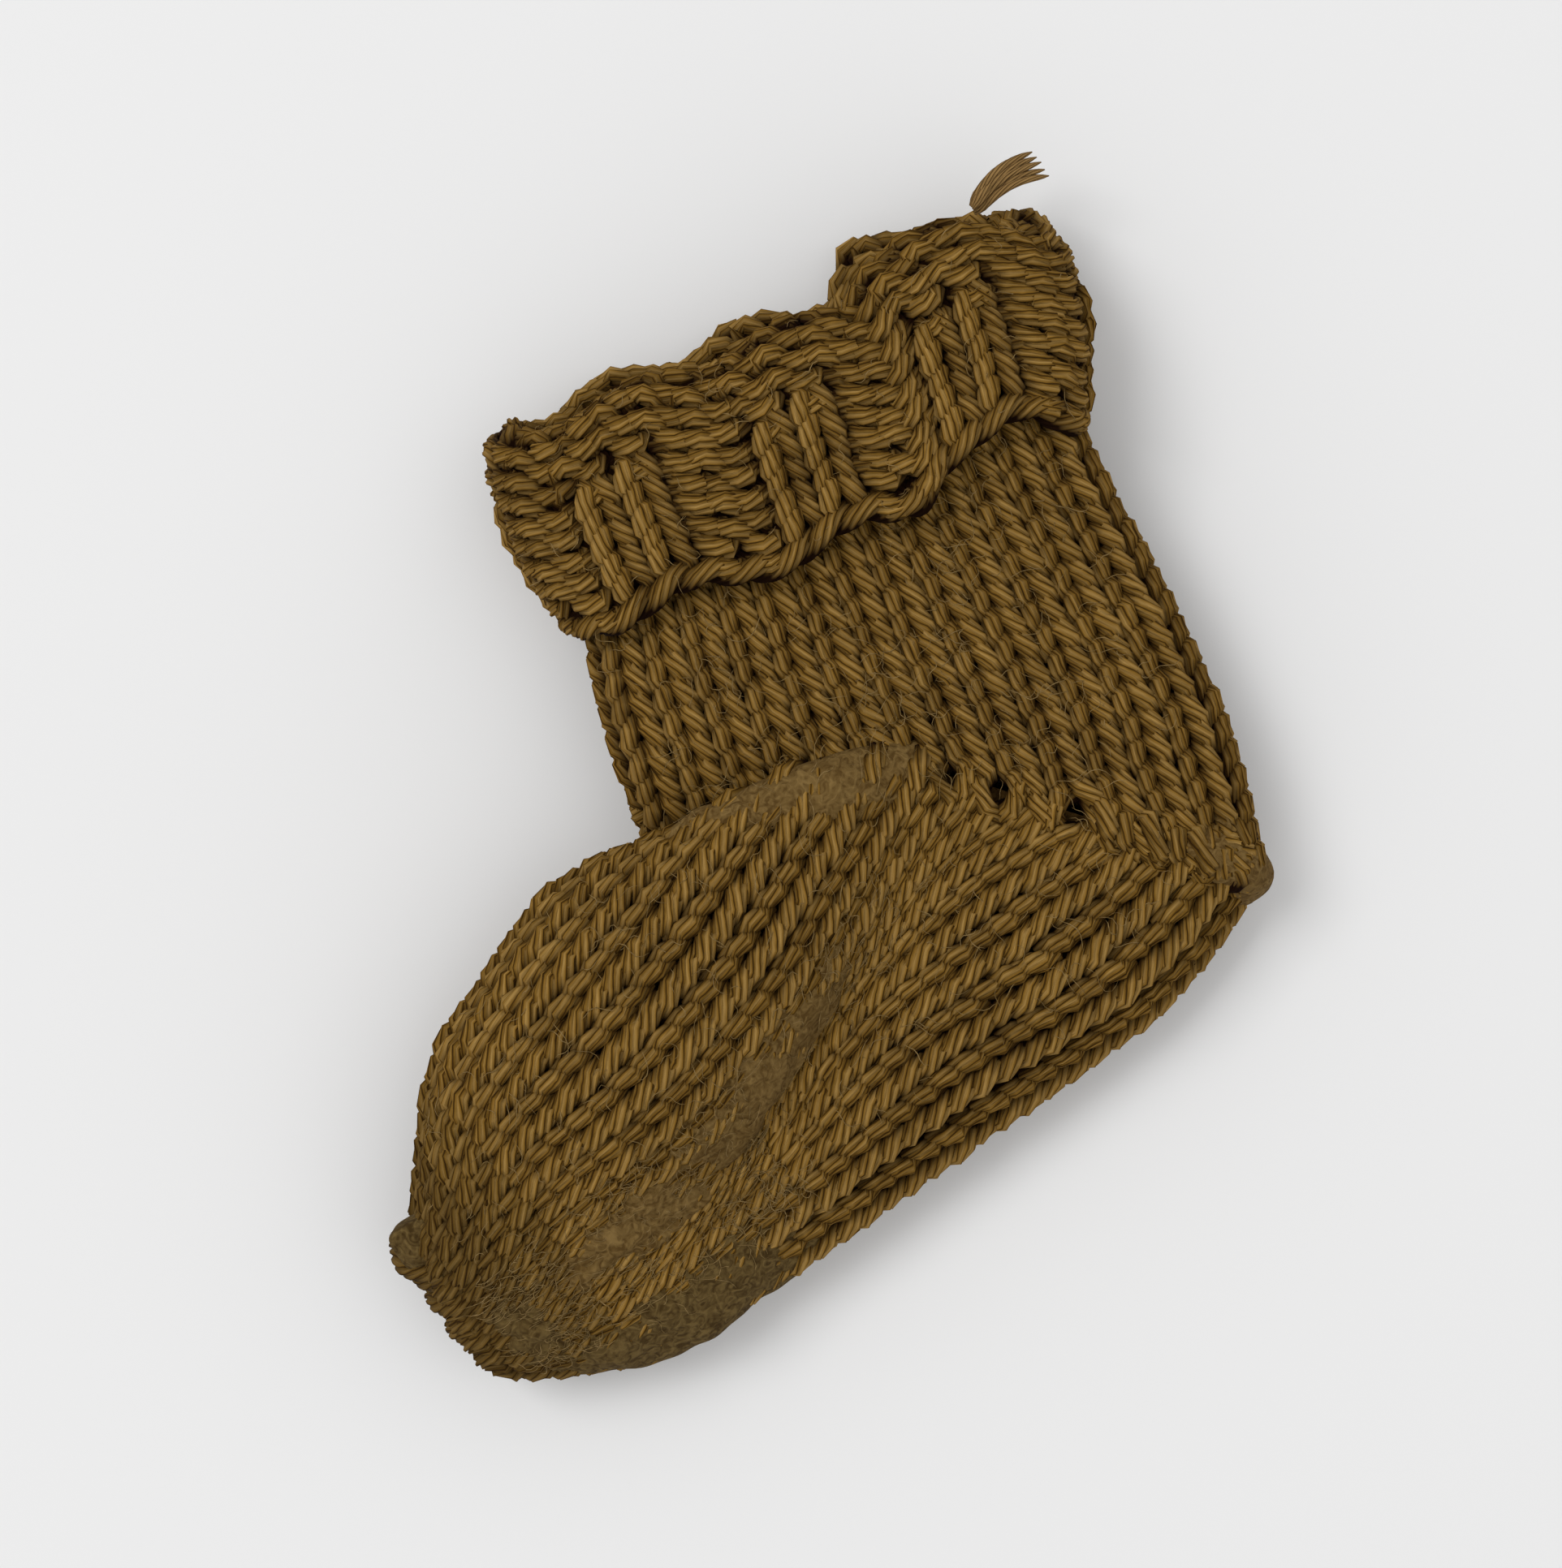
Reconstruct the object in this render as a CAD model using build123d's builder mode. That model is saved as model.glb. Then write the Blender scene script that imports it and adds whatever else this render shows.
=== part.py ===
"""Knitted baby bootie, lying on its side.

+Z points up out of the surface, the sole runs along X with the toe at -X and the heel
at +X, and +Y points from the sole towards the cuff. The origin is at the bottom centre
of the whole object. Each section of knitting is a closed shell of one fabric layer,
and the foot can go all the way in: mouth, leg, ankle, instep, toe.

The shapes are drawn about the ankle axis at (0, 0) and moved to the origin at the end.
"""
import os
from math import cos, radians, sin, tan

from build123d import *

# ---- Driving dimensions, mm and degrees -------------------------------------------
wall = 3.5  # thickness of one layer of knitting

# Foot section
foot_length = 100.0  # back of the heel to the tip of the toe, along X
heel_back = 24.0  # from the ankle axis back to the heel, at sole level
heel_depth = 35.5  # from the ankle axis down to the sole under the heel
heel_tuck = 0.5  # the heel's lower corner sits this far inside its back
heel_corner = 9.0  # radius there
ball_depth = 41.0  # the same under the ball of the foot
ball_place = 26.0  # from the toe's tip back to the ball
ball_curve = 30.0
foot_height = 17.5  # heel, ankle and sole above the surface
instep_height = 26.0  # the puffed instep above the surface
toe_height = 20.0  # the toe cap above the surface
toe_length = 20.0  # from the toe's tip back to the first decreases
toe_rise = 6.0  # the blunt toe's lower corner above the ball
toe_width = 20.0  # the blunt toe's end, corner to corner
toe_corner = 7.0  # radius of both corners
graft_proud = 2.0  # the closing ridge stands out of the toe's end
graft_length = 11.0
graft_height = 10.0
mitre_angle = -51.0  # the short-row heel's mitre line, from the ankle axis
valley_depth = 35.0  # where the crease between instep and sole meets the toe, below the ankle axis
throat_place = 17.0  # from the toe's tip back to the instep's highest point
throat_rise = 2.0  # that point above the ankle axis
throat_curve = 20.0
foot_round = 3.0  # rounding along the foot's outline
instep_round = 4.0  # rounding round the top of the puffed instep

# Ankle: the leg's lower edge turns about this round shoulder
ankle_radius = 22.0
ankle_gap = 0.3  # clearance between leg and foot
leg_lean = 14.5  # how far the leg leans back towards the heel
flex_forward = 20.0  # leg towards the toe
flex_back = 15.0  # leg towards the heel
flex_margin = 3.0  # free angle left beyond each limit

# Leg section
leg_width = 62.0  # lying flat, at the ankle
leg_thickness = 13.0
leg_floor = 4.5  # height of the leg's underside above the surface
leg_taper = 5.0  # how much narrower the leg is at the top, on its back edge
leg_bare = 3.0  # leg left bare between the ankle's shoulder and the cuff's free edge
leg_squareness = 2.4  # thickness over corner radius, of the leg and its bore

# Turned-down cuff
cuff_clearance = 1.25  # between the leg and the layer turned down over it
cuff_tilt = 4.5  # the cuff's line against the leg's cross-section
cuff_overhang = 2.5  # how far the band stands out past the leg, each end
cuff_wall = 3.25  # band's own thickness, above and below the leg
fold_depth = 4.0  # the rolled fold round the mouth
band_depth = 14.0  # turned-down ribbing
edge_depth = 3.0  # bind-off chain along the band's free edge
edge_proud = 0.6  # how far the chain stands out of the band
cuff_squareness = 2.6  # height over corner radius

# Yarn tail
tail_length = 10.0
tail_radius = 1.3
tail_splay = 4.0  # taper of the frayed tail, outwards
tail_angle = 22.0  # its direction in plan
tail_place = 27.5  # from the middle of the mouth towards the heel

# ---- Values worked out from them --------------------------------------------------
FAR = 400.0  # past everything
touching = 0.01  # closer than this counts as on the line
toe_x = heel_back - foot_length
toe_end = toe_x + graft_proud
toe_line = toe_x + toe_length


def polar(radius, angle):
    """Point at an angle about the ankle axis."""
    return radius * cos(radians(angle)), radius * sin(radians(angle))


front_angle = 180.0 - leg_lean  # where the leg's front edge leaves the ankle
back_angle = -leg_lean  # where its back edge does
leg_front = polar(leg_width / 2, front_angle)
leg_back = polar(leg_width / 2, back_angle)
leg_up = Vector(*polar(1.0, 90.0 - leg_lean), 0)
leg_across = Vector(*polar(1.0, back_angle), 0)
leg_middle_z = leg_floor + leg_thickness / 2
leg_top_width = leg_width - leg_taper
leg_height = ankle_radius + leg_bare + edge_depth + band_depth + fold_depth
leg_plane = Plane(origin=(0, 0, leg_middle_z), x_dir=leg_across, z_dir=leg_up)

cuff_up = Vector(*polar(1.0, 90.0 - leg_lean + cuff_tilt), 0)
cuff_across = Vector(*polar(1.0, back_angle + cuff_tilt), 0)
mouth_middle = Vector(0, 0, leg_middle_z) + leg_up * leg_height - leg_across * (leg_taper / 2)
mouth_plane = Plane(origin=mouth_middle, x_dir=cuff_across, z_dir=cuff_up)
fold_plane = mouth_plane.offset(-fold_depth)
band_plane = fold_plane.offset(-band_depth)
edge_plane = band_plane.offset(-edge_depth)
cuff_inner_width = leg_width + cuff_clearance
cuff_inner_height = leg_thickness + 2 * cuff_clearance
cuff_width = cuff_inner_width + 2 * cuff_overhang
cuff_height = cuff_inner_height + 2 * cuff_wall
cuff_round = cuff_height / cuff_squareness
leg_round = leg_thickness / leg_squareness
bore_round = (leg_thickness - 2 * wall) / leg_squareness


# ---- Foot outline and its zones ---------------------------------------------------
with BuildSketch() as foot_outline:
    with BuildLine():
        foot_edge = FilletPolyline(
            leg_back,
            (heel_back - heel_tuck, -heel_depth),
            (toe_x + ball_place, -ball_depth),
            (toe_end, -ball_depth + toe_rise),
            (toe_end, -ball_depth + toe_rise + toe_width),
            (toe_x + throat_place, throat_rise),
            leg_front,
            radius=[heel_corner, ball_curve, toe_corner, toe_corner, throat_curve],
        )
        shoulder = CenterArc((0, 0), ankle_radius, back_angle, 180)
        Line(leg_front, shoulder @ 1)
        Line(shoulder @ 0, leg_back)
    make_face()

with BuildSketch() as ankle_zone:
    with BuildLine():
        Polyline((0, 0), polar(FAR, mitre_angle), (FAR, FAR), (0, FAR), polar(FAR, front_angle), close=True)
    make_face()

with BuildSketch() as heel_zone:
    with BuildLine():
        Polyline((0, 0), (0, -FAR), polar(FAR, mitre_angle), close=True)
    make_face()

valley_end = (toe_line, -valley_depth)
crease_end = (toe_line, toe_line * tan(radians(front_angle)))
with BuildSketch() as sole_zone:
    with BuildLine():
        Polyline((0, 0), valley_end, (toe_line, -FAR), (0, -FAR), close=True)
    make_face()

with BuildSketch() as instep_zone:
    with BuildLine():
        Polyline((0, 0), crease_end, valley_end, close=True)
    make_face()

# ---- The space inside, cut out of every section -----------------------------------
with BuildSketch() as inner_outline:
    offset(foot_outline.sketch, amount=-wall)

with BuildPart() as cavity:
    with BuildSketch(Plane.XY.offset(wall)):
        add(inner_outline.sketch)
    extrude(amount=foot_height - 2 * wall)
    with BuildSketch(Plane.XY.offset(wall)):
        offset(instep_zone.sketch, amount=-wall, kind=Kind.INTERSECTION)
        add(inner_outline.sketch, mode=Mode.INTERSECT)
    extrude(amount=instep_height - 2 * wall)
    with BuildSketch(Plane.XY.offset(wall)):
        with Locations((toe_line - wall, 0)):
            Rectangle(FAR, 2 * FAR, align=(Align.MAX, Align.CENTER))
        add(inner_outline.sketch, mode=Mode.INTERSECT)
    extrude(amount=toe_height - 2 * wall)
    with BuildSketch(leg_plane):
        RectangleRounded(leg_width - 2 * wall, leg_thickness - 2 * wall, bore_round)
    extrude(amount=leg_width)


def outline_edges(part):
    """A section's flat edges that follow the foot's edge, not a cut between sections."""
    middles = [(edge, edge.position_at(0.5)) for edge in part.edges().filter_by(Plane.XY)]
    return [edge for edge, middle in middles if foot_edge.distance_to(Vertex(middle.X, middle.Y, 0)) < touching]


# ---- Foot sections ----------------------------------------------------------------
with BuildPart() as ankle:
    with BuildSketch():
        add(foot_outline.sketch)
        add(ankle_zone.sketch, mode=Mode.INTERSECT)
    extrude(amount=foot_height)
    add(cavity.part, mode=Mode.SUBTRACT)
ankle.part.label = "ankle"

with BuildPart() as heel:
    with BuildSketch():
        add(foot_outline.sketch)
        add(heel_zone.sketch, mode=Mode.INTERSECT)
    extrude(amount=foot_height)
    fillet(outline_edges(heel), radius=foot_round)
    add(cavity.part, mode=Mode.SUBTRACT)
heel.part.label = "heel"

with BuildPart() as sole:
    with BuildSketch():
        add(foot_outline.sketch)
        add(sole_zone.sketch, mode=Mode.INTERSECT)
    extrude(amount=foot_height)
    fillet(outline_edges(sole), radius=foot_round)
    add(cavity.part, mode=Mode.SUBTRACT)
sole.part.label = "sole"

with BuildPart() as instep:
    with BuildSketch():
        add(foot_outline.sketch)
        add(instep_zone.sketch, mode=Mode.INTERSECT)
    extrude(amount=instep_height)
    fillet(instep.faces().sort_by(Axis.Z)[-1].edges(), radius=instep_round)
    add(cavity.part, mode=Mode.SUBTRACT)
instep.part.label = "instep"

with BuildPart() as toe_cap:
    with BuildSketch():
        add(foot_outline.sketch)
        with Locations((toe_line, 0)):
            Rectangle(FAR, FAR, align=(Align.MAX, Align.CENTER), mode=Mode.INTERSECT)
    extrude(amount=toe_height)
    fillet(outline_edges(toe_cap), radius=foot_round)
    add(cavity.part, mode=Mode.SUBTRACT)
toe_cap.part.label = "toe_cap"

with BuildPart() as toe_graft:
    with BuildSketch(Plane.XY.offset((toe_height - graft_height) / 2)):
        with Locations((toe_x, -ball_depth + toe_rise + toe_width / 2)):
            Rectangle(graft_proud, graft_length, align=(Align.MIN, Align.CENTER))
    extrude(amount=graft_height)
toe_graft.part.label = "toe_graft"

# ---- Leg section ------------------------------------------------------------------
leg_top_plane = Plane(origin=mouth_middle, x_dir=leg_across, z_dir=leg_up)
swing_front = polar(FAR, front_angle - flex_forward - flex_margin)
swing_back = polar(FAR, back_angle + flex_back + flex_margin)

with BuildPart() as leg_tube:
    with BuildSketch(leg_plane):
        RectangleRounded(leg_width, leg_thickness, leg_round)
    with BuildSketch(leg_top_plane):
        RectangleRounded(leg_top_width, leg_thickness, leg_round)
    loft()
    with BuildSketch(leg_plane):
        RectangleRounded(leg_width - 2 * wall, leg_thickness - 2 * wall, bore_round)
    with BuildSketch(leg_top_plane):
        RectangleRounded(leg_top_width - 2 * wall, leg_thickness - 2 * wall, bore_round)
    loft(mode=Mode.SUBTRACT)
    split(bisect_by=fold_plane, keep=Keep.BOTTOM)
    with BuildSketch():
        Circle(ankle_radius + ankle_gap)
        with BuildLine():
            Polyline((0, 0), swing_back, (FAR, -FAR), (-FAR, -FAR), swing_front, close=True)
        make_face()
    extrude(amount=foot_height + leg_thickness, mode=Mode.SUBTRACT)
leg_tube.part.label = "leg_tube"

# ---- Turned-down ribbed cuff ------------------------------------------------------
with BuildPart() as cuff_fold:
    with BuildSketch(fold_plane):
        RectangleRounded(cuff_width, cuff_height, cuff_round)
        RectangleRounded(leg_top_width - 2 * wall, leg_thickness - 2 * wall, bore_round, mode=Mode.SUBTRACT)
    extrude(amount=fold_depth)
cuff_fold.part.label = "cuff_fold"

with BuildPart() as cuff_band:
    with BuildSketch(band_plane):
        RectangleRounded(cuff_width, cuff_height, cuff_round)
        RectangleRounded(cuff_inner_width, cuff_inner_height, leg_round, mode=Mode.SUBTRACT)
    extrude(amount=band_depth)
cuff_band.part.label = "cuff_band"

with BuildPart() as bind_off_edge:
    with BuildSketch(edge_plane):
        RectangleRounded(cuff_width + 2 * edge_proud, cuff_height, cuff_round)
        RectangleRounded(cuff_inner_width, cuff_inner_height, leg_round, mode=Mode.SUBTRACT)
    extrude(amount=edge_depth)
bind_off_edge.part.label = "bind_off_edge"

# ---- Yarn tail --------------------------------------------------------------------
tail_direction = Vector(*polar(1.0, tail_angle), 0)
tail_start = mouth_middle + cuff_across * tail_place
with BuildPart() as yarn_tail:
    with BuildSketch(Plane(origin=tail_start - tail_direction * wall, z_dir=tail_direction)):
        Circle(tail_radius)
    extrude(amount=tail_length + wall, taper=-tail_splay)
    split(bisect_by=mouth_plane, keep=Keep.TOP)
yarn_tail.part.label = "yarn_tail"

# ---- Move to the origin and write -------------------------------------------------
pieces = [
    ankle, heel, sole, instep, toe_cap, toe_graft,
    leg_tube, cuff_fold, cuff_band, bind_off_edge, yarn_tail,
]
box = Compound([piece.part for piece in pieces]).bounding_box()
shift = Location((-box.center().X, -box.center().Y, -box.min.Z))

os.makedirs("parts", exist_ok=True)
for piece in pieces:
    placed = piece.part.moved(shift)
    placed.label = piece.part.label
    export_step(placed, f"parts/{placed.label}.step")
print("overall size", [round(size, 2) for size in box.size])
print("ankle axis at", [round(value, 3) for value in shift.position])
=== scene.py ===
"""Knitted baby bootie lying on its side, every stitch drawn as a twisted cotton yarn.

Lengths are in mm until the meshes are made. A fabric is a surface with two coordinates:
w counts wales (stitch columns) round the tube and r counts rows away from the toe.
"""
from math import pi, radians

import bpy
import numpy as np
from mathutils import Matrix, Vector


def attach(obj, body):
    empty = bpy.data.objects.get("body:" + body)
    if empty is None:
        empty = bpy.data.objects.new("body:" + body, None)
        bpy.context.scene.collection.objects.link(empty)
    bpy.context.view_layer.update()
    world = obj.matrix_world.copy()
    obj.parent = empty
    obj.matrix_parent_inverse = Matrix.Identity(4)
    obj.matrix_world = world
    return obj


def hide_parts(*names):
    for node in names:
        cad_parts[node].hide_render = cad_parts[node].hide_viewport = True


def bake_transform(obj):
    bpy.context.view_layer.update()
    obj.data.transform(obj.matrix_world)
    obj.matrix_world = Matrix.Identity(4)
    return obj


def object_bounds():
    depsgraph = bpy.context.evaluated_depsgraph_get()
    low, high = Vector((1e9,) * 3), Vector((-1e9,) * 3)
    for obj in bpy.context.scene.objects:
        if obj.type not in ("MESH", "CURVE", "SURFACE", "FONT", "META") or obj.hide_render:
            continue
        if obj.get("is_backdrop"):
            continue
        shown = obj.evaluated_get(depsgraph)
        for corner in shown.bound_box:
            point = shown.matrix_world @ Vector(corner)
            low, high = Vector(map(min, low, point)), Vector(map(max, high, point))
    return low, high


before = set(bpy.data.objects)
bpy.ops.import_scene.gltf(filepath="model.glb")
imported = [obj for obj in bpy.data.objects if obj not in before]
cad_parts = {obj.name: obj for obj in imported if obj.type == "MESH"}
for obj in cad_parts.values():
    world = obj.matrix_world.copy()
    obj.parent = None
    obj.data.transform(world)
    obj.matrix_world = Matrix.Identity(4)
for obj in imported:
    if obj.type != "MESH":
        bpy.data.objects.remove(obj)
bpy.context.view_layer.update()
rng = np.random.default_rng(7)

MM = 0.001
DRAWN_FROM = np.array([-1.1, 0.8, 0.0])  # from the origin of the outlines below to the frame's origin

# ---- Yarn ------------------------------------------------------------------------
PLIES = 8
PLY_PROFILE = [0.74, 1.0, 1.0]  # one ply from valley over ridge
FINE = len(PLY_PROFILE) * PLIES  # sides of a yarn seen from above
COARSE = 14  # sides of a yarn on the underside
YARN = 1.18  # radius
FOOT_YARN = 1.27
PROUD = 1.15  # how far the loops stand off the middle of the fabric
TWIST = 12.5  # length of one turn


def tube(points, normals, radius, sides, phase, depth):
    """A twisted yarn along points: vertices, quads, (length, round) per corner, height per vertex."""
    run = np.concatenate([[0.0], np.cumsum(np.linalg.norm(np.diff(points, axis=0), axis=1))])
    along = np.gradient(points, axis=0)
    along /= np.linalg.norm(along, axis=1)[:, None] + 1e-9
    out = normals - (normals * along).sum(1)[:, None] * along
    out /= np.linalg.norm(out, axis=1)[:, None] + 1e-9
    side = np.cross(along, out)
    k = np.arange(sides)
    profile = np.array(PLY_PROFILE)[k % len(PLY_PROFILE)] if sides == FINE else np.full(sides, 0.97)
    angle = 2 * pi * k[None, :] / sides + phase - (2 * pi / TWIST) * run[:, None]
    from_end = np.minimum(np.arange(len(run)), np.arange(len(run))[::-1])
    closing = np.clip((from_end + 0.1) / 2, 0, 1) ** 0.5  # the ends draw in to a point
    reach = (closing * radius)[:, None] * profile[None, :]
    ring = np.cos(angle)[:, :, None] * out[:, None, :] + np.sin(angle)[:, :, None] * side[:, None, :]
    verts = points[:, None, :] + reach[:, :, None] * ring
    i = np.arange(len(points) - 1)[:, None]
    j = np.arange(sides)[None, :]
    a = i * sides + j
    b = i * sides + (j + 1) % sides
    quads = np.stack([a, b, b + sides, a + sides], -1).reshape(-1, 4)
    near, far = run[i] + 0 * j, run[i + 1] + 0 * j
    left, right = j / sides + 0 * i, (j + 1) / sides + 0 * i
    u = np.stack([near, near, far, far], -1).reshape(-1, 4)
    v = np.stack([left, right, right, left], -1).reshape(-1, 4)
    height = np.broadcast_to(depth, run.shape)[:, None] + reach * np.cos(angle)
    corners = np.stack([u, v], -1)
    return verts.reshape(-1, 3), quads, corners, height.ravel()


class Bundle:
    """Collects tubes and turns them into one mesh object."""

    def __init__(self):
        self.verts, self.quads, self.uvs, self.heights, self.count = [], [], [], [], 0

    def add(self, points, normals, radius=YARN, sides=FINE, depth=1.0):
        points = points.copy()
        points[:, 2] = np.maximum(points[:, 2], np.max(radius))  # rests on the floor, never below it
        verts, quads, uvs, heights = tube(points, normals, radius, sides, rng.uniform(0, 2 * pi), depth)
        uvs[..., 0] += rng.uniform(0, 500)
        self.verts.append(verts)
        self.quads.append(quads + self.count)
        self.uvs.append(uvs)
        self.heights.append(heights)
        self.count += len(verts)

    def build(self, name, material):
        verts = (np.concatenate(self.verts) + DRAWN_FROM) * MM
        quads = np.concatenate(self.quads)
        mesh = bpy.data.meshes.new(name)
        mesh.vertices.add(len(verts))
        mesh.vertices.foreach_set("co", verts.astype(np.float32).ravel())
        mesh.loops.add(quads.size)
        mesh.loops.foreach_set("vertex_index", quads.astype(np.int32).ravel())
        mesh.polygons.add(len(quads))
        mesh.polygons.foreach_set("loop_start", np.arange(0, quads.size, 4, dtype=np.int32))
        mesh.polygons.foreach_set("loop_total", np.full(len(quads), 4, np.int32))
        layer = mesh.uv_layers.new(name="yarn")
        layer.data.foreach_set("uv", np.concatenate(self.uvs).astype(np.float32).ravel())
        height = mesh.attributes.new("height", "FLOAT", "POINT")
        height.data.foreach_set("value", np.concatenate(self.heights).astype(np.float32))
        mesh.update(calc_edges=True)
        mesh.shade_smooth()
        mesh.materials.append(material)
        made = bpy.data.objects.new(name, mesh)
        bpy.context.scene.collection.objects.link(made)
        return made


# ---- Surfaces --------------------------------------------------------------------
WALE_STEP = 0.125  # between the grid lines of a fabric, in wales


def spline(x, xs, ys):
    """Smooth curve through ys at xs (cubic pieces, slopes from the neighbours)."""
    xs = np.asarray(xs, float)
    ys = np.asarray(ys, float)
    slopes = np.empty_like(ys)
    gap = (xs[2:] - xs[:-2]).reshape(-1, *[1] * (ys.ndim - 1))
    slopes[1:-1] = (ys[2:] - ys[:-2]) / gap
    slopes[0] = (ys[1] - ys[0]) / (xs[1] - xs[0])
    slopes[-1] = (ys[-1] - ys[-2]) / (xs[-1] - xs[-2])
    i = np.clip(np.searchsorted(xs, x, side="right") - 1, 0, len(xs) - 2)
    step = (xs[i + 1] - xs[i]).reshape(-1, *[1] * (ys.ndim - 1))
    t = ((x - xs[i]).reshape(-1, *[1] * (ys.ndim - 1))) / step
    middle = ys[i] * (2 * t**3 - 3 * t**2 + 1) + ys[i + 1] * (3 * t**2 - 2 * t**3)
    return middle + step * (slopes[i] * (t**3 - 2 * t**2 + t) + slopes[i + 1] * (t**3 - t**2))


class Fabric:
    """A knitted surface. grid[station, wale] holds points; rows are laid off by length along each wale."""

    STEP = 0.125  # between the grid lines, in rows

    def __init__(self, grid, wales, row, origin_station=0, outward=1):
        """grid: dense [station, wale] points; row: row height; outward=-1 turns the normals over."""
        self.wales = wales
        length = np.linalg.norm(np.diff(grid, axis=0), axis=2)
        run = np.concatenate([np.zeros((1, grid.shape[1])), np.cumsum(length, axis=0)])
        rows = (run - run[origin_station]) / row
        self.low = rows.min() - 2
        self.high = rows.max() + 2
        self.first = rows[0]
        self.last = rows[-1]
        ladder = np.arange(self.low, self.high, self.STEP)
        columns = []
        for k in range(grid.shape[1]):
            r, p = rows[:, k], grid[:, k]
            column = np.stack([np.interp(ladder, r, p[:, c]) for c in range(3)], 1)
            first = (p[2] - p[0]) / max(r[2] - r[0], 1e-6)
            last = (p[-1] - p[-3]) / max(r[-1] - r[-3], 1e-6)
            column += np.minimum(ladder - r[0], 0)[:, None] * first
            column += np.maximum(ladder - r[-1], 0)[:, None] * last
            columns.append(column)
        self.points = np.stack(columns, 1)
        across = np.gradient(self.points, axis=1)
        self.round = np.allclose(grid[0, 0], grid[0, -1])
        if self.round:
            across[:, 0] = across[:, -1] = self.points[:, 1] - self.points[:, -2]
        normal = np.cross(across, np.gradient(self.points, axis=0))
        self.normals = outward * normal / (np.linalg.norm(normal, axis=2)[..., None] + 1e-9)

    def at(self, w, r):
        """Points and outward normals at wale w, row r."""
        w = np.mod(w, self.wales) if self.round else np.clip(w, 0, self.wales)
        x = w / self.wales * (self.points.shape[1] - 1)
        y = np.clip((r - self.low) / self.STEP, 0, self.points.shape[0] - 1.001)
        i, j = y.astype(int), np.minimum(x.astype(int), self.points.shape[1] - 2)
        fy, fx = (y - i)[:, None], (x - j)[:, None]
        found = []
        for table in (self.points, self.normals):
            lower = table[i, j] * (1 - fx) + table[i, j + 1] * fx
            upper = table[i + 1, j] * (1 - fx) + table[i + 1, j + 1] * fx
            found.append(lower * (1 - fy) + upper * fy)
        return found


def closed(stations, wale_at, wales, along=160):
    """Dense grid from control loops: stations [n][m] points at wales wale_at[m], closed round."""
    stations = np.array(stations, float)
    w = np.arange(0, wales + 1e-6, WALE_STEP)
    xs = np.concatenate([np.array(wale_at) - wales, wale_at, np.array(wale_at) + wales])
    loops = np.stack([spline(w, xs, np.concatenate([s, s, s])) for s in stations])
    return spline(np.linspace(0, len(stations) - 1, along), np.arange(len(stations)), loops)


# ---- Stitches --------------------------------------------------------------------
# Gaps along the heel's mitre: x, y, how far the yarn is pushed aside
mitre_holes = [
    (15.6, -9.4, 1.2),
    (19.6, -13.8, 1.3),
    (25.4, -19.4, 1.2),
    (30.8, -25.4, 1.0),
    (34.6, -29.5, 0.8),
]
HOLE_REACH = 2.4
UPPER_SIDE = 9  # only yarn above this height is pushed


def open_holes(points):
    """Pushes the yarn aside round the gaps that the short-row heel leaves along its mitre."""
    points = points.copy()
    for x, y, push in mitre_holes:
        away = points[:, :2] - (x, y)
        distance = np.linalg.norm(away, axis=1) + 1e-6
        seen = points[:, 2] > UPPER_SIDE
        shift = push * np.exp(-((distance / HOLE_REACH) ** 2)) * seen
        points[:, :2] += away / distance[:, None] * shift[:, None]
    return points


LOOP_WIDE = 0.205  # how far a loop leans into its neighbours, in wales
LOOP_TALL = 0.98  # half the height of a loop, in rows


def knit_row(bundle, fabric, row, start, count, sides=FINE, samples=18, signs=None, rib=0.0,
             deep=PROUD, lift=0.10, radius=YARN, span=None, looseness=0.05, slant=0.0):
    """One row of count stitches from wale start. signs: +1 knit, -1 purl for each wale.

    deep, lift and rib move the yarn off the fabric: the loops, one leg of each, and whole stitches.
    span squeezes or stretches the row to that many wales; slant tilts purl bumps.
    """
    t = 2 * pi * np.arange(count * samples + 1) / samples
    stitch = t / (2 * pi)
    knots = np.arange(count + 1)
    wander = np.interp(stitch, knots, rng.normal(0, looseness, count + 1))
    gauge = np.interp(stitch, knots, rng.normal(1, 0.06, count + 1))
    depth = np.interp(stitch, knots, rng.normal(0, 0.12, count + 1))
    sway = np.interp(stitch, knots, rng.normal(0, 0.03, count + 1))
    if signs is None:
        sign = np.ones_like(t)
    else:
        changes = np.repeat(np.arange(1, count), 2) + np.tile([-0.12, 0.12], count - 1)
        edges = np.concatenate([[-1e-3], changes, [count + 1e-3]])
        sign = np.interp(stitch, edges, np.repeat(np.asarray(signs, float), 2))
    w = start + stitch + LOOP_WIDE * np.sin(2 * t) + sway
    r = row - LOOP_TALL * gauge * np.cos(t) + wander + slant * np.sin(2 * t) * (sign < 0)
    out = -deep * np.cos(2 * t) * sign + lift * np.sin(t) * sign + rib * sign + depth
    if span is not None:
        w = start + (w - start) * span / count
    points, normals = fabric.at(w, r)
    points = open_holes(points + out[:, None] * normals)
    thick = radius * (1 + np.interp(stitch, knots, rng.normal(0, 0.05, count + 1)) + 0.01 * np.sin(t))
    # this height, scaled as for a full-depth loop, sets how much painted shade the yarn gets
    bundle.add(points, normals, thick, sides, (out - rib * sign) * PROUD / deep)


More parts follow.
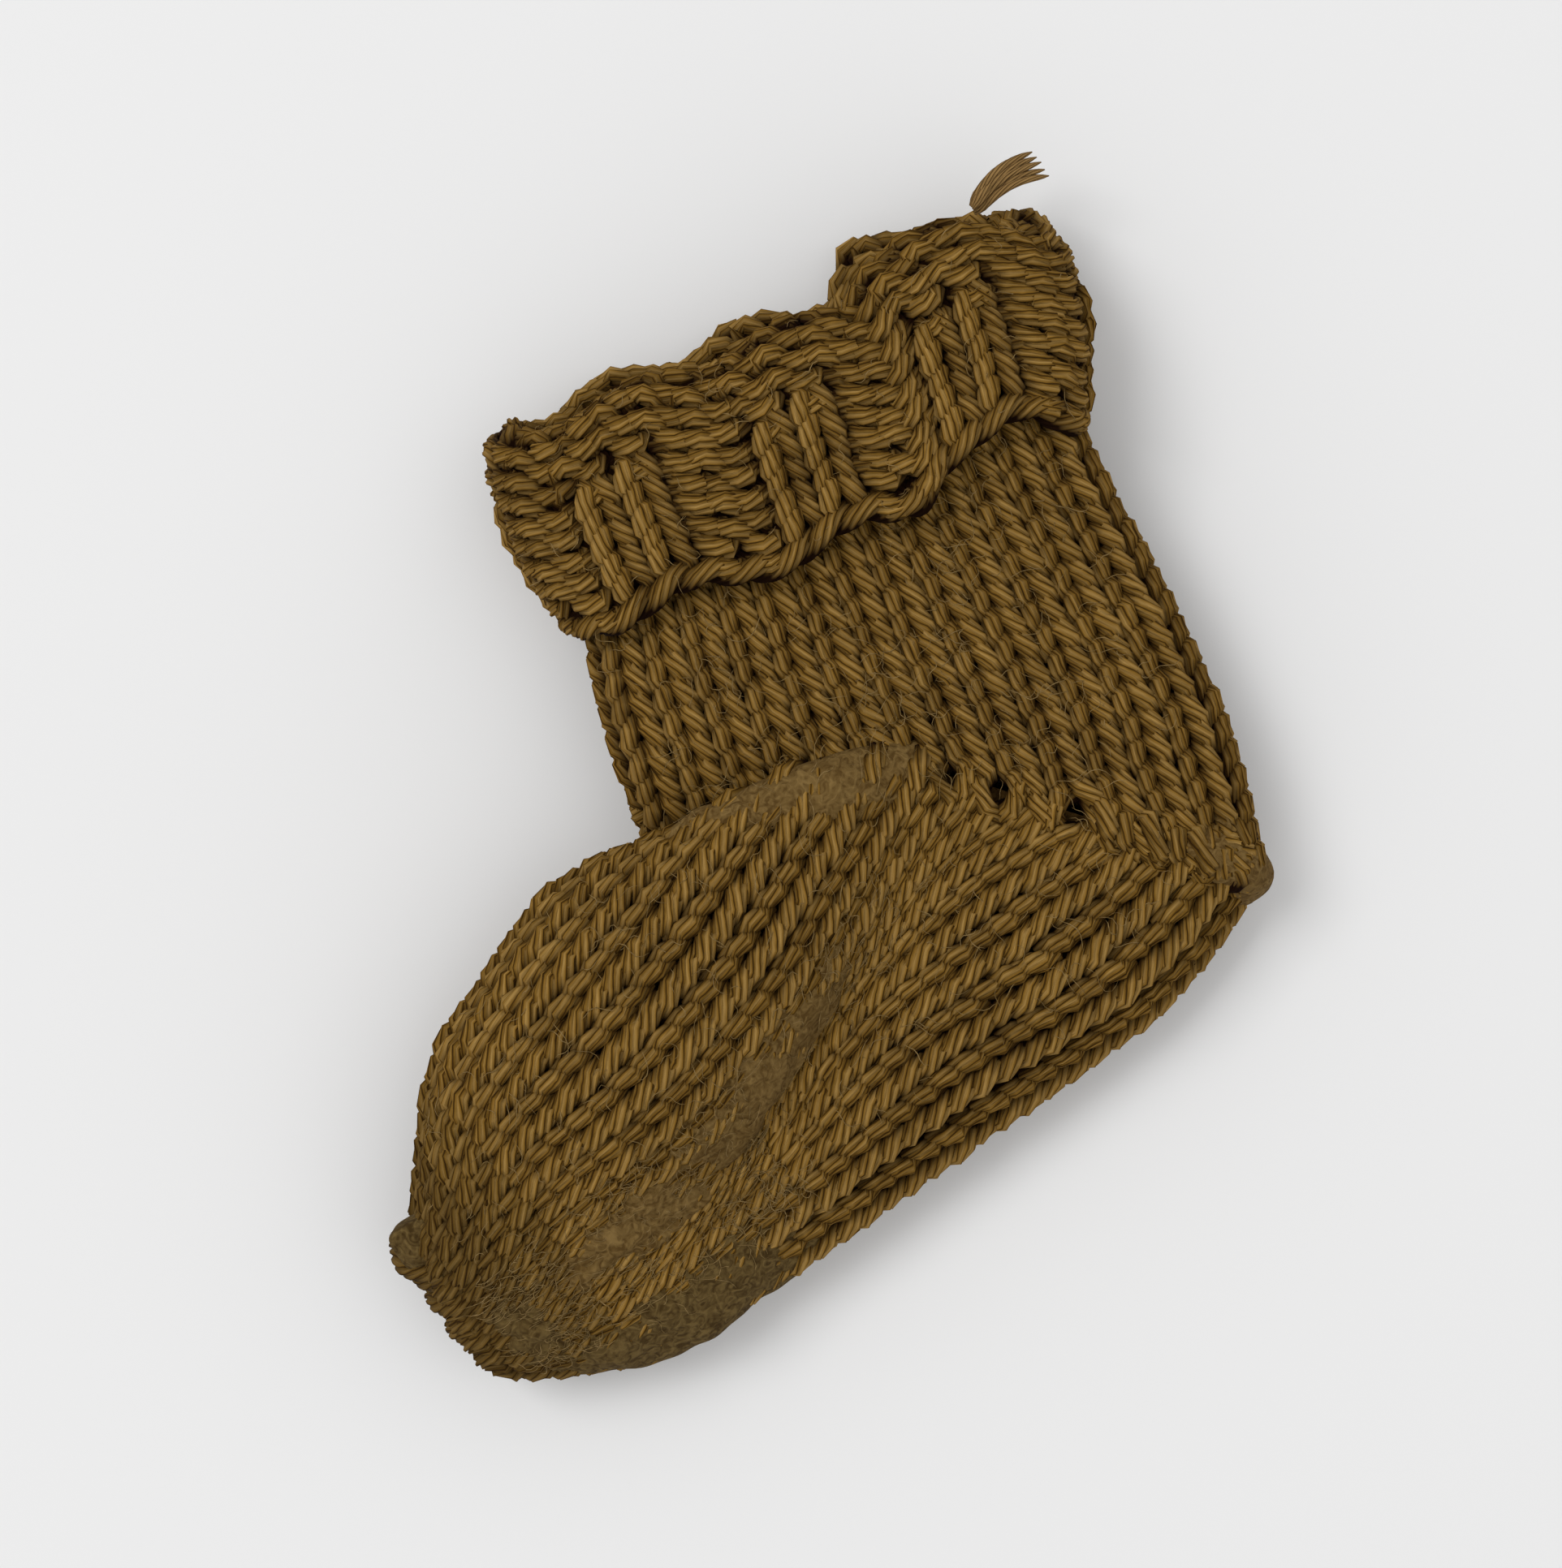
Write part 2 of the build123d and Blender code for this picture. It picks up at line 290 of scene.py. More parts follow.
# ---- Foot ------------------------------------------------------------------------
NEAR = 14.5  # wales seen from above on the foot
FOOT_WALES = 26
near_wales = [0, 1.3, 3.3, 5.3, 7, 9, 11, 13, 14.5]
far_wales = [16, 20, 24.6]
toe_seam = [(-54.5, -19.5, 9), (-55, -20.3, 9.6), (-55.6, -22, 9.8), (-56.2, -24.3, 9.8),
            (-56.7, -26.5, 9.6), (-57.2, -29, 9.4), (-57.3, -31.5, 9.2),
            (-56.9, -34.5, 9), (-55.8, -36.8, 8.6)]
toe_end = [(-53, -18, 9), (-53.3, -19.5, 13), (-53.8, -22.3, 15.3), (-54.2, -25.3, 15.5),
           (-54.5, -28, 14.5), (-54.8, -30.8, 13.5), (-55, -33.5, 12.5),
           (-54.8, -36.5, 11), (-53.5, -38.7, 7.5)]
toe_line = [(-44.5, -7.8, 10.5), (-44, -9.5, 16.5), (-43, -15, 20), (-42, -22, 20), (-41.5, -26.5, 18),
            (-41.5, -31, 15.5), (-41.5, -35, 14), (-41.5, -39.5, 12.5), (-41.5, -43.5, 7.5)]
ball = [(-34, -2.5, 11), (-33, -4.3, 18), (-30, -11, 22.5), (-27, -20, 22.5), (-25.5, -25.8, 19),
        (-25, -30.5, 13.5), (-24, -33.5, 12), (-23, -38.5, 12), (-23, -43.8, 7)]
waist = [(-26, 0.6, 11), (-24, -1.2, 18), (-17, -6.8, 22), (-12, -15.5, 21), (-9.5, -20.3, 17),
         (-7.5, -23, 12.5), (-4, -28, 13.5), (0.3, -36.6, 13), (1.6, -42.5, 6.5)]
throat = [(-20, 0.8, 10.5), (-17.5, 0, 16.5), (-8, -3.5, 19.5), (0, -9.8, 19), (5, -13.5, 15.5),
          (9, -17.8, 13.5), (14, -26.4, 14), (20.5, -36.3, 12.5), (23, -40.8, 6)]
crease = [(-13, -1.0, 9), (-10, -0.5, 16), (0, -1.5, 18), (9, -5.0, 17.5), (16.5, -9.5, 15),
          (23.5, -17.5, 15), (30, -25, 14.5), (36.2, -31.8, 12.5), (38.2, -34.9, 6.5)]


def with_underside(station, low=2.6):
    """Adds the flat underside between the lower and the upper edge."""
    bottom, top = np.array(station[-1], float), np.array(station[0], float)
    under = []
    for share, height in ((0.1, low + 0.4), (0.5, low), (0.9, low + 0.6)):
        point = bottom + (top - bottom) * share
        under.append((point[0], point[1], height))
    return list(station) + under


foot_stations = [with_underside(toe_seam, 8.2), with_underside(toe_end, 3.4)]
foot_stations += [with_underside(s) for s in (toe_line, ball, waist, throat, crease)]
FOOT_LINES = 200  # grid lines between the toe and the crease
FOOT_ROW = 2.95
foot_grid = closed(foot_stations, near_wales + far_wales, FOOT_WALES, along=FOOT_LINES)
toe_line_station = int(round(2 / 6 * (FOOT_LINES - 1)))  # row 0 is the third of the seven stations
foot = Fabric(foot_grid, FOOT_WALES, FOOT_ROW, origin_station=toe_line_station)


def rows_at(values, fabric, w):
    """A per-wale number such as the first or last row, at wale w."""
    return np.interp(np.mod(w, fabric.wales), np.linspace(0, fabric.wales, len(values)), values)


def stretches(low, good):
    """Unbroken stretches of good wales, counted from wale low, as (start, count)."""
    found, begin = [], None
    for k, ok in enumerate(list(good) + [False]):
        if ok and begin is None:
            begin = k
        if not ok and begin is not None:
            found.append((low + begin, k - begin))
            begin = None
    return found


def runs(fabric, row, low, high):
    """Whole wales between low and high where this row lies on the fabric, as (start, count)."""
    middle = np.arange(low, high) + 0.5
    above = rows_at(fabric.first, fabric, middle) < row + 0.3
    below = rows_at(fabric.last, fabric, middle) > row - 0.3
    return stretches(low, above & below)


# ---- Leg -------------------------------------------------------------------------
LEG_WALES = 28
LEG_ROW = 2.8
leg_front = [(-15, -24), (-15.5, -9), (-12.6, 1.5), (-9.6, 13.5), (-6.2, 23), (-3.2, 33.5), (-0.6, 44)]
leg_back = [(38.4, -33.5), (41.8, -23.2), (43.6, -14.3), (44.8, -2), (45.6, 10), (47.3, 21), (51, 32.5)]
LEG_CENTRE = 11.0


def section(half_height, front_power, back_power, samples=400):
    """Near and far halves of a flattened tube as (across -1..1, height), by equal length."""
    across = np.sin(np.linspace(-pi / 2, pi / 2, samples))
    power = np.where(across < 0, front_power, back_power)
    rise = half_height * np.clip(1 - np.abs(across) ** power, 0, 1) ** (1 / power)
    return across, rise


def ring(near_wales, far_wales, half_width, near, far):
    """Maps wale -> (across, height) round a flattened tube; near and far are (across, rise)."""
    halves = []
    for (across, rise), direction, wales in ((near, 1, near_wales), (far, -1, far_wales)):
        run = np.concatenate([[0], np.cumsum(np.hypot(np.diff(across * half_width), np.diff(rise)))])
        share = np.linspace(0, 1, int(wales / WALE_STEP) + 1)
        a = np.interp(share * run[-1], run, across)
        h = np.interp(share * run[-1], run, rise)
        halves.append((a, direction * h) if direction > 0 else (a[::-1], direction * h[::-1]))
    a = np.concatenate([halves[0][0], halves[1][0][1:]])
    h = np.concatenate([halves[0][1], halves[1][1][1:]])
    return a, h


leg_a, leg_h = ring(14, 14, 28.5, section(4.2, 5.0, 2.7), section(4.2, 4.5, 4.5))
LEG_LINES = 140
stations = np.linspace(0, 6, LEG_LINES)
front = spline(stations, np.arange(7), leg_front)
back = spline(stations, np.arange(7), leg_back)
leg_grid = np.empty((len(stations), len(leg_a), 3))
leg_grid[:, :, :2] = front[:, None] + (back - front)[:, None] * ((leg_a + 1) / 2)[None, :, None]
leg_grid[:, :, 2] = LEG_CENTRE + leg_h[None, :]
tuck = np.clip((2.7 - stations) / 0.9, 0, 1)[:, None] * np.clip(1 - (leg_a + 1) / 0.75, 0, 1)[None, :]
leg_grid[:, :, 2] -= 4.5 * tuck * (leg_h > 0)[None, :]  # the front dips behind the puffed instep
leg_origin = int(round(2 / 6 * (LEG_LINES - 1)))
leg = Fabric(leg_grid, LEG_WALES, LEG_ROW, origin_station=leg_origin)


def leg_floor_row(w):
    """Lowest row of the leg at wale w: under the instep in front, the heel's mitre behind."""
    side = np.minimum(np.mod(w, LEG_WALES), LEG_WALES - np.mod(w, LEG_WALES))  # 0 front edge, 14 back edge
    return np.where(side < 7, -3.0 + 2.4 * np.clip(side / 7, 0, 1) ** 2, -0.6 - 7.0 * (side - 7) / 7)


# ---- Cuff ------------------------------------------------------------------------
CUFF_WALES = 32
CUFF_ROW = 2.35
cuff_up = np.array([0.1736, 0.9848])
cuff_across = np.array([0.9848, -0.1736])
mouth = np.array([25.1, 39.2])
# height on the mouth line, front and back half width, half height
cuff_profile = [(-9, 26.5, 26.5, 4.0), (-2.5, 27, 27, 4.3), (0.8, 29.2, 28.4, 5.8), (-0.6, 31.2, 30.2, 7.6),
                (-4.5, 31.8, 30.6, 8.3), (-12, 31.6, 29.4, 8.5), (-19.0, 29.8, 26.4, 8.7)]
CUFF_NEAR = 15


def ease(x):
    """0 to 1 with a soft start and end."""
    x = np.clip(x, 0, 1)
    return x * x * (3 - 2 * x)


def cuff_loop(height, front_width, back_width, half_height, station):
    """One loop of the cuff: station 0 is inside the leg, 2 the top of the fold, 6 the free edge."""
    mean_width = (front_width + back_width) / 2
    a, h = ring(CUFF_NEAR, CUFF_WALES - CUFF_NEAR, mean_width,
                section(half_height, 4.5, 3.5), section(half_height, 4.5, 4.5))
    across = a * mean_width + (back_width - front_width) / 2
    ripple = np.sin(2 * pi * (np.arange(len(a)) * WALE_STEP + 1.0) / 4)
    u = -0.25 * h - 0.7 + ripple * (1.0 if station in (2, 3) else 0.35)
    back_end = np.clip((a - 0.5) / 0.5, 0, 1)
    if station >= 5:
        u = u + 2.5 * back_end**2
    if 1 <= station <= 4:
        u = u + 3.4 * ease((a - 0.28) / 0.14) * (1 - 0.8 * ease((a - 0.72) / 0.28))
    plan = mouth + cuff_up * height + across[:, None] * cuff_across + u[:, None] * cuff_up
    return np.column_stack([plan, LEG_CENTRE + h])


cuff_controls = np.stack([cuff_loop(*values, station) for station, values in enumerate(cuff_profile)])
cuff_grid = spline(np.linspace(0, 6, 150), np.arange(7), cuff_controls)
cuff = Fabric(cuff_grid, CUFF_WALES, CUFF_ROW, origin_station=50, outward=-1)


# ---- Material --------------------------------------------------------------------
PLY_GROOVE_SHADE = (0.018, 0.007, 0.001)  # painted shade in the groove between two plies
STITCH_CREVICE_SHADE = (0.010, 0.003, 0.0005)  # painted shade on yarn deep between the stitches


def yarn_material(name, ridge=(0.335, 0.203, 0.060), flank=(0.190, 0.098, 0.014)):
    """Cotton plies with painted light and shade: pale lit ridges, painted shade on the flanks and in the
    grooves, painted shade on yarn deep in the fabric, and fine streaks along the fibres.
    """
    made = bpy.data.materials.new(name)
    made.use_nodes = True
    tree = made.node_tree
    new, link = tree.nodes.new, tree.links.new
    shader = tree.nodes["Principled BSDF"]
    shader.inputs["Roughness"].default_value = 0.92
    shader.inputs["Specular IOR Level"].default_value = 0.06
    uv = new("ShaderNodeUVMap")
    uv.uv_map = "yarn"
    split = new("ShaderNodeSeparateXYZ")
    link(uv.outputs[0], split.inputs[0])
    plies = new("ShaderNodeMath")
    plies.operation = "MULTIPLY"
    plies.inputs[1].default_value = PLIES
    drift = new("ShaderNodeMapping")
    drift.inputs["Scale"].default_value = (0.45, 5, 1)
    link(uv.outputs[0], drift.inputs[0])
    uneven = new("ShaderNodeTexNoise")
    uneven.inputs["Scale"].default_value = 1.0
    link(drift.outputs[0], uneven.inputs[0])
    shift = new("ShaderNodeMath")
    shift.operation = "MULTIPLY_ADD"
    shift.inputs[1].default_value = 0.09
    link(uneven.outputs["Fac"], shift.inputs[0])
    link(split.outputs[1], shift.inputs[2])
    link(shift.outputs[0], plies.inputs[0])
    fract = new("ShaderNodeMath")
    fract.operation = "FRACT"
    link(plies.outputs[0], fract.inputs[0])
    ramp = new("ShaderNodeValToRGB")
    link(fract.outputs[0], ramp.inputs[0])
    # painted light and shade round each ply: near-black grooves, shaded flanks and a pale lit ridge
    stops = ramp.color_ramp.elements
    stops[0].position, stops[0].color = 0.0, (*PLY_GROOVE_SHADE, 1)
    stops[1].position, stops[1].color = 0.5, (*ridge, 1)
    for place, colour in ((0.14, flank), (0.86, flank), (1.0, PLY_GROOVE_SHADE)):
        stops.new(place).color = (*colour, 1)
    stretch = new("ShaderNodeMapping")
    stretch.inputs["Scale"].default_value = (0.35, 60, 1)
    link(uv.outputs[0], stretch.inputs[0])
    fibres = new("ShaderNodeTexNoise")
    fibres.inputs["Scale"].default_value = 1.0
    fibres.inputs["Detail"].default_value = 4
    link(stretch.outputs[0], fibres.inputs[0])
    mix = new("ShaderNodeMix")
    mix.data_type = "RGBA"
    mix.blend_type = "OVERLAY"
    mix.inputs[0].default_value = 0.7
    link(ramp.outputs[0], mix.inputs[6])
    link(fibres.outputs["Fac"], mix.inputs[7])
    attribute = new("ShaderNodeAttribute")
    attribute.attribute_name = "height"
    off_middle = new("ShaderNodeMath")  # painted shade: yarn near either face of the fabric stays pale, yarn in its middle is painted dark
    off_middle.operation = "ABSOLUTE"
    link(attribute.outputs["Fac"], off_middle.inputs[0])
    # painted shade: yarn further below either face of the fabric is mixed towards near-black
    depth_shade = new("ShaderNodeMapRange")
    depth_shade.inputs["From Min"].default_value = 2.25
    depth_shade.inputs["From Max"].default_value = 0.75
    link(off_middle.outputs[0], depth_shade.inputs["Value"])
    crevice = new("ShaderNodeMix")
    crevice.data_type = "RGBA"
    crevice.inputs[7].default_value = (*STITCH_CREVICE_SHADE, 1)
    link(depth_shade.outputs["Result"], crevice.inputs[0])
    link(mix.outputs[2], crevice.inputs[6])
    link(crevice.outputs[2], shader.inputs["Base Color"])
    bump = new("ShaderNodeBump")
    bump.inputs["Strength"].default_value = 0.5
    bump.inputs["Distance"].default_value = 0.0003
    link(fibres.outputs["Fac"], bump.inputs["Height"])
    link(bump.outputs[0], shader.inputs["Normal"])
    return made


stockinette = yarn_material("stockinette")
cuff_rib = yarn_material("cuff_rib")
toe_yarn = yarn_material("toe_yarn", ridge=(0.185, 0.112, 0.033), flank=(0.108, 0.058, 0.010))
toe_side = yarn_material("toe_side", ridge=(0.255, 0.155, 0.046), flank=(0.150, 0.079, 0.012))
frayed = yarn_material("frayed_yarn", ridge=(0.36, 0.22, 0.08), flank=(0.24, 0.14, 0.05))


def place_bending(made, slot, *nodes):
    """Bakes the piece's placement into its mesh and hides the named parts of the model."""
    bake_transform(made)
    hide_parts(*nodes)


LEG_LOWEST, LEG_HIGHEST = -8, 14  # the heel's mitre, and just under the cuff's fold


def leg_rows(low, high, sides, samples):
    bundle = Bundle()
    for row in range(LEG_LOWEST, LEG_HIGHEST + 1):
        good = leg_floor_row(np.arange(low, high) + 0.5) < row + 0.3
        for begin, count in stretches(low, good):
            knit_row(bundle, leg, row, begin, count, sides, samples)
    return bundle


leg_near = leg_rows(-1, 15, FINE, 14).build("leg_tube_knit", stockinette)
leg_far = leg_rows(15, 27, COARSE, 10).build("leg_tube_knit_underside", stockinette)
place_bending(leg_near, "stockinette", "leg_tube")
place_bending(leg_far, "stockinette")


def foot_rows(low, high, sides, samples, first=0, last=30):
    """Rows of the foot; rows below 0 are the toe, where each has fewer stitches than the one above."""
    bundle = Bundle()
    for row in range(first, last + 1):
        if row >= 0:
            for begin, count in runs(foot, row, low, high):
                knit_row(bundle, foot, row, begin, count, sides, samples, radius=FOOT_YARN)
        else:
            count = int(round((high - low) / (1 + 0.07 * (-row) ** 1.2)))
            knit_row(bundle, foot, row, low, count, sides, samples, span=high - low, radius=FOOT_YARN)
    return bundle


instep_piece = foot_rows(-1, 7, FINE, 14).build("instep_knit", stockinette)
sole_piece = foot_rows(7, 16, FINE, 14).build("sole_heel_knit", stockinette)
under_piece = foot_rows(16, 25, COARSE, 10).build("foot_underside_knit", stockinette)
toe_piece = foot_rows(0, 15, FINE, 14, first=-2, last=-1).build("toe_knit", toe_side)
toe_tip = foot_rows(0, 15, FINE, 14, first=-5, last=-3).build("toe_tip_knit", toe_yarn)
toe_under = foot_rows(15, 26, COARSE, 10, first=-5, last=-1).build("toe_underside_knit", toe_yarn)
place_bending(instep_piece, "stockinette", "instep", "ankle")
place_bending(sole_piece, "stockinette", "sole", "heel")
place_bending(under_piece, "stockinette")
for piece in (toe_piece, toe_tip, toe_under):
    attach(piece, "foot")
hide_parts("toe_cap", "toe_graft")

# Closing strands at the blunt end of the toe
end_strands = Bundle()
strand_paths = [
    [(-59.0, -20.5, 7), (-58.8, -23.0, 12), (-55.5, -25.0, 15), (-51, -25.5, 16.2)],
    [(-58.3, -23.5, 8), (-57.8, -25.2, 12), (-54, -27, 15), (-50.5, -28.4, 16.3)],
    [(-58.6, -27, 7.5), (-57.8, -28.4, 11.5), (-54, -30.2, 14.3), (-50.5, -31.8, 15.4)],
    [(-58.6, -31, 7), (-57.8, -32, 10.5), (-54.5, -33.6, 13), (-51.2, -35.4, 14)],
    [(-57.6, -35, 6), (-56.4, -36.2, 9), (-53.4, -37.6, 11), (-50, -39.2, 12)],
]
for path in strand_paths:
    t = np.linspace(0, len(path) - 1, 40)
    points = spline(t, np.arange(len(path)), path)
    normals = np.tile([0.0, 0.0, 1.0], (len(t), 1))
    end_strands.add(points, normals, YARN * 1.05, depth=1.0)
end_piece = end_strands.build("toe_closing_strands", toe_yarn)
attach(end_piece, "foot")


# Heel turn: short rows that close the corner between the sole and the back of the leg
TURN_WALES = 8
TURN_FIRST = 10.5  # wale of foot and leg where the turn begins
w = TURN_FIRST + np.arange(0, TURN_WALES + 1e-6, WALE_STEP)
from_sole, out_sole = foot.at(w, rows_at(foot.last, foot, w) - 0.6)
to_leg, out_leg = leg.at(w - 0.4, leg_floor_row(w - 0.4) + 0.4)
t = np.linspace(0, 1, 24)[:, None, None]
turn_grid = from_sole * (1 - t) + to_leg * t + 1.3 * np.sin(pi * t) * (out_sole + out_leg) / 2
heel_turn = Fabric(turn_grid, TURN_WALES, FOOT_ROW)
turn_rows = Bundle()
for row in range(0, 5):
    for begin, count in runs(heel_turn, row, 0, TURN_WALES):
        if count > 1:
            knit_row(turn_rows, heel_turn, row, begin, count, samples=14, radius=FOOT_YARN)
turn_piece = turn_rows.build("heel_turn_knit", stockinette)
place_bending(turn_piece, "stockinette")


CUFF_LOWEST = -4  # inside the mouth; row 0 is the top of the fold
RIB_FROM = 4  # the knit columns start here, below it all is purl
CHAIN_ROW = 9  # bound off along this row
CUFF_SHIFT = 0.4  # of a wale, so that the knit columns lie where they should


def cuff_rows(low, high, sides, samples):
    bundle = Bundle()
    ribbed = [1 if k % 4 >= 2 else -1 for k in range(low, high)]
    for row in range(CUFF_LOWEST, CHAIN_ROW):
        signs = ribbed if row >= RIB_FROM else [-1] * len(ribbed)
        rim = abs(row) <= 2  # the fold is seen on both sides of the mouth
        knit_row(bundle, cuff, row, low + CUFF_SHIFT, high - low, FINE if rim else sides, samples,
                 signs=signs, rib=0.12, deep=0.85 if rim else 1.0, lift=0.2, slant=0.17, looseness=0.09)
    return bundle


cuff_near = cuff_rows(-1, 16, FINE, 16).build("cuff_knit", cuff_rib)
cuff_far = cuff_rows(16, 31, COARSE, 14).build("cuff_knit_underside", cuff_rib)
for piece in (cuff_near, cuff_far):
    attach(piece, "leg")
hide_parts("cuff_fold", "cuff_band")

# Bind-off chain round the band's free edge: two strands laid over each other
chain = Bundle()
LINK = 9.0  # length along the edge in which a strand comes back on top
for low, high, sides in ((-1.0, 16.0, FINE), (16.0, 31.0, COARSE)):
    w = np.arange(low, high + 0.01, 0.08)
    middle, _ = cuff.at(w, np.full(len(w), float(CHAIN_ROW)))
    run = np.concatenate([[0], np.cumsum(np.linalg.norm(np.diff(middle, axis=0), axis=1))])
    for strand in (0, 1):
        turn = 2 * pi * run / LINK + pi * strand
        points, normals = cuff.at(w, CHAIN_ROW + 0.26 * np.cos(turn))
        out = 0.2 + 0.85 * np.sin(turn)
        thick = YARN * (0.95 + 0.05 * np.sin(run * 1.7 + strand))
        chain.add(points + out[:, None] * normals, normals, thick, sides, out)
chain_piece = chain.build("bind_off_knit", cuff_rib)
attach(chain_piece, "leg")
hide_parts("bind_off_edge")

# Yarn tail: a few plies splaying apart
tail = Bundle()
for k in range(5):
    t = np.linspace(0, 1, 16)
    aim = np.array([8.6, 0.3 - 0.9 * (k - 2) * 0.6, 0.4 * (k % 3)])
    points = np.array([50.0, 39.6, 12.0]) + t[:, None] * aim
    points[:, 1] += 0.9 * np.sin(t * pi) - 0.25 * (k - 2)
    points[:, 2] += 0.5 * np.sin(t * 5 + k)
    normals = np.tile([0.0, 0.0, 1.0], (len(t), 1))
    tail.add(points, normals, 0.5 * (1 - 0.45 * t**2), FINE, depth=2.0)
tail_piece = tail.build("yarn_tail_plies", frayed)
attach(tail_piece, "leg")
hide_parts("yarn_tail")


# ---- Fuzz and felted patches ---------------------------------------------------------
def felt_material(name, light=(0.20, 0.130, 0.046), dark=(0.055, 0.032, 0.010)):
    made = bpy.data.materials.new(name)
    made.use_nodes = True
    tree = made.node_tree
    new, link = tree.nodes.new, tree.links.new
    shader = tree.nodes["Principled BSDF"]
    shader.inputs["Roughness"].default_value = 1.0
    shader.inputs["Specular IOR Level"].default_value = 0.1
    place = new("ShaderNodeTexCoord")
    noise = new("ShaderNodeTexNoise")
    noise.inputs["Scale"].default_value = 900
    noise.inputs["Detail"].default_value = 6
    noise.inputs["Distortion"].default_value = 1.5
    link(place.outputs["Object"], noise.inputs["Vector"])
    ramp = new("ShaderNodeValToRGB")
    ramp.color_ramp.elements[0].position, ramp.color_ramp.elements[0].color = 0.35, (*dark, 1)
    ramp.color_ramp.elements[1].position, ramp.color_ramp.elements[1].color = 0.68, (*light, 1)
    link(noise.outputs["Fac"], ramp.inputs[0])
    link(ramp.outputs[0], shader.inputs["Base Color"])
    bump = new("ShaderNodeBump")
    bump.inputs["Strength"].default_value = 0.8
    bump.inputs["Distance"].default_value = 0.0004
    link(noise.outputs["Fac"], bump.inputs["Height"])
    link(bump.outputs[0], shader.inputs["Normal"])
    return made


def sheet(name, points, along, across, material):
    """Mesh object from a grid of points."""
    i, j = np.meshgrid(np.arange(along - 1), np.arange(across - 1), indexing="ij")
    a = (i * across + j).ravel()
    quads = np.stack([a, a + 1, a + across + 1, a + across], -1)
    points = points + DRAWN_FROM
    points[:, 2] = np.maximum(points[:, 2], 0.05)
    mesh = bpy.data.meshes.new(name)
    mesh.from_pydata((points * MM).tolist(), [], quads.tolist())
    mesh.shade_smooth()
    mesh.materials.append(material)
    made = bpy.data.objects.new(name, mesh)
    bpy.context.scene.collection.objects.link(made)
    return made


# size, turn per wale, turn per row, phase
FELT_WAVES = [(0.16, 2.1, 1.3, 0.4), (0.14, -1.7, 2.2, 1.9), (0.10, 5.1, 1.1, 2.6), (0.08, 3.3, -4.7, 0.9)]


def felt_patch(name, fabric, wales, rows, height, material, across=60, along=70, from_end=False):
    """A matted skin over the stitches; its border sinks between them."""
    s, t = np.meshgrid(np.linspace(0, 1, across), np.linspace(0, 1, along))
    w = wales[0] + s * (wales[1] - wales[0])
    r = rows[0] + t * (rows[1] - rows[0])
    if from_end:
        r = r + rows_at(fabric.last, fabric, w.ravel()).reshape(w.shape)
    bulge = (np.sin(pi * s) * np.sin(pi * t)) ** 0.35
    lumps = 0
    for size, per_wale, per_row, phase in FELT_WAVES:
        lumps = lumps + size * np.sin(per_wale * w + per_row * r + phase)
    points, normals = fabric.at(w.ravel(), r.ravel())
    out = (bulge * (height + 1.2) - 1.2 + lumps * bulge).ravel()
    return sheet(name, points + out[:, None] * normals, along, across, material)


SKIN = -0.5  # below the middle of the fabric


def skin(name, fabric, w, first, last, along=60):
    """A dark sheet behind the stitches, painted shade for the inside seen through the gaps, from row first
    to row last at each wale.
    """
    t = np.linspace(0, 1, along)[:, None]
    r = first[None, :] + t * (last - first)[None, :]
    wales = np.broadcast_to(w[None, :], r.shape)
    points, normals = fabric.at(wales.ravel(), r.ravel())
    return sheet(name, points + SKIN * normals, along, len(w), painted_shade_sheet)


def fuzz(bundle, fabric, wales, rows, count, length=(1.5, 4.5), rise=(1.7, 2.6), thin=0.045):
    """Loose cotton fibres lying over the stitches."""
    for _ in range(count):
        t = np.linspace(0, 1, 7)
        w0 = rng.uniform(*wales)
        r0 = rng.uniform(*rows)
        heading = rng.uniform(0, 2 * pi)
        size = rng.uniform(*length)
        turn = heading + rng.normal(0, 1.3) * t + 0.7 * np.sin(rng.uniform(3, 8) * t)
        step = size / (len(t) - 1)
        w = w0 + np.cumsum(np.cos(turn)) * step / 4.4
        r = r0 + np.cumsum(np.sin(turn)) * step / 2.9
        out = rng.uniform(*rise) + 0.7 * np.sin(pi * t) * rng.normal(0, 0.5)
        points, normals = fabric.at(w, r)
        bundle.add(points + out[:, None] * normals, normals, thin * rng.uniform(0.7, 1.3), 3, out)


felted = felt_material("felted_yarn", light=(0.200, 0.124, 0.040), dark=(0.085, 0.046, 0.011))
felted_toe = felt_material("felted_toe", light=(0.145, 0.094, 0.031), dark=(0.050, 0.028, 0.007))
zones = [  # name, wales, rows, height, material
    ("felt_valley", (6.0, 9.9), (2, 16), 2.7, felted),
    ("felt_flank", (6.6, 11.6), (-3, 7), 2.65, felted),
    ("felt_ball", (11.8, 16.2), (-5, 8), 2.7, felted_toe),
    ("felt_toe_tip", (7.0, 15.0), (-4.8, -1.5), 2.55, felted_toe),
]
for name, wales, rows, height, felt in zones:
    patch = felt_patch(name, foot, wales, rows, height, felt)
    place_bending(patch, "stockinette")
# rows counted from the crease under the leg
ridge_patch = felt_patch("felt_ridge", foot, (0.2, 7.0), (-2.2, 1.5), 2.5, felted, from_end=True)
place_bending(ridge_patch, "stockinette")
heel_patch = felt_patch("felt_heel", heel_turn, (1.4, 7.0), (-2.0, 3.8), 2.35, felted)
place_bending(heel_patch, "stockinette")

# Felted nub at the upper corner of the toe
turn, rise = np.meshgrid(np.linspace(0, 2 * pi, 49), np.linspace(-pi / 2, pi / 2, 33))


def squared(angle, wave):
    return np.sign(wave(angle)) * np.abs(wave(angle)) ** 0.6


